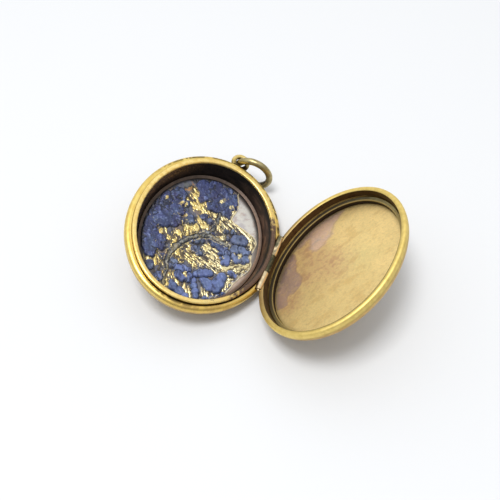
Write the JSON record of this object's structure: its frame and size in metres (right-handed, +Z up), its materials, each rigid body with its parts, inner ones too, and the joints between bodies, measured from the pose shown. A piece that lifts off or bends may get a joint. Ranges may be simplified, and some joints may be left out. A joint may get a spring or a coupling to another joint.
{
  "type": "picture locket",
  "caption": "Oval gilt brass picture locket lying open on its hinge, with an embossed blue and gold insert, a bail loop and a jump ring.",
  "frame": {"origin": "on the table, under the middle of the open locket's bounding box", "axes": "+Z up from the table, +Y along the hinge towards the bail loop, +X from the case towards the lid"},
  "size_m": [0.0486, 0.0354, 0.0184],
  "materials": {
    "gilt_brass": "worn satin gilding, darker in the grooves",
    "dark_brass": "tarnished dark brown",
    "olive_brass": "olive brown, polished by wear on top",
    "pale_metal": "dull grey white",
    "embossed_paper": "embossed, blue with gold foil"
  },
  "bodies": {
    "case": {"case_back_shell": "gilt_brass", "case_rim": "gilt_brass", "case_snap_lip": "gilt_brass", "case_backing_plate": "pale_metal", "floral_insert": "embossed_paper", "case_knuckle_upper": "gilt_brass", "case_knuckle_lower": "gilt_brass", "hinge_pin": "olive_brass", "bail_loop": "gilt_brass"},
    "lid": {"lid_knuckle": "olive_brass", "lid_shell": "gilt_brass", "lid_rim": "gilt_brass", "lid_picture_frame": "dark_brass", "lid_backing_plate": "gilt_brass"},
    "frame": {"case_picture_frame": "dark_brass"},
    "ring": {"jump_ring": "olive_brass"}
  },
  "joints": [
    {"name": "lid_hinge", "type": "hinge", "parent": "case", "child": "lid", "pos_m": [0.00153, -0.0014, 0.00297], "axis": [0, -1, 0], "range_deg": [-5.5, 124.9]},
    {"name": "ring_swing", "type": "hinge", "parent": "case", "child": "ring", "pos_m": [-0.0107, 0.01595, 0.00647], "axis": [0.3355, 0, 0.9421], "range_deg": [-8, 188]},
    {"name": "case_frame_lift", "type": "slide", "parent": "case", "child": "frame", "axis": [0.3355, 0, 0.9421], "range_m": [0, 0.004]}
  ]
}
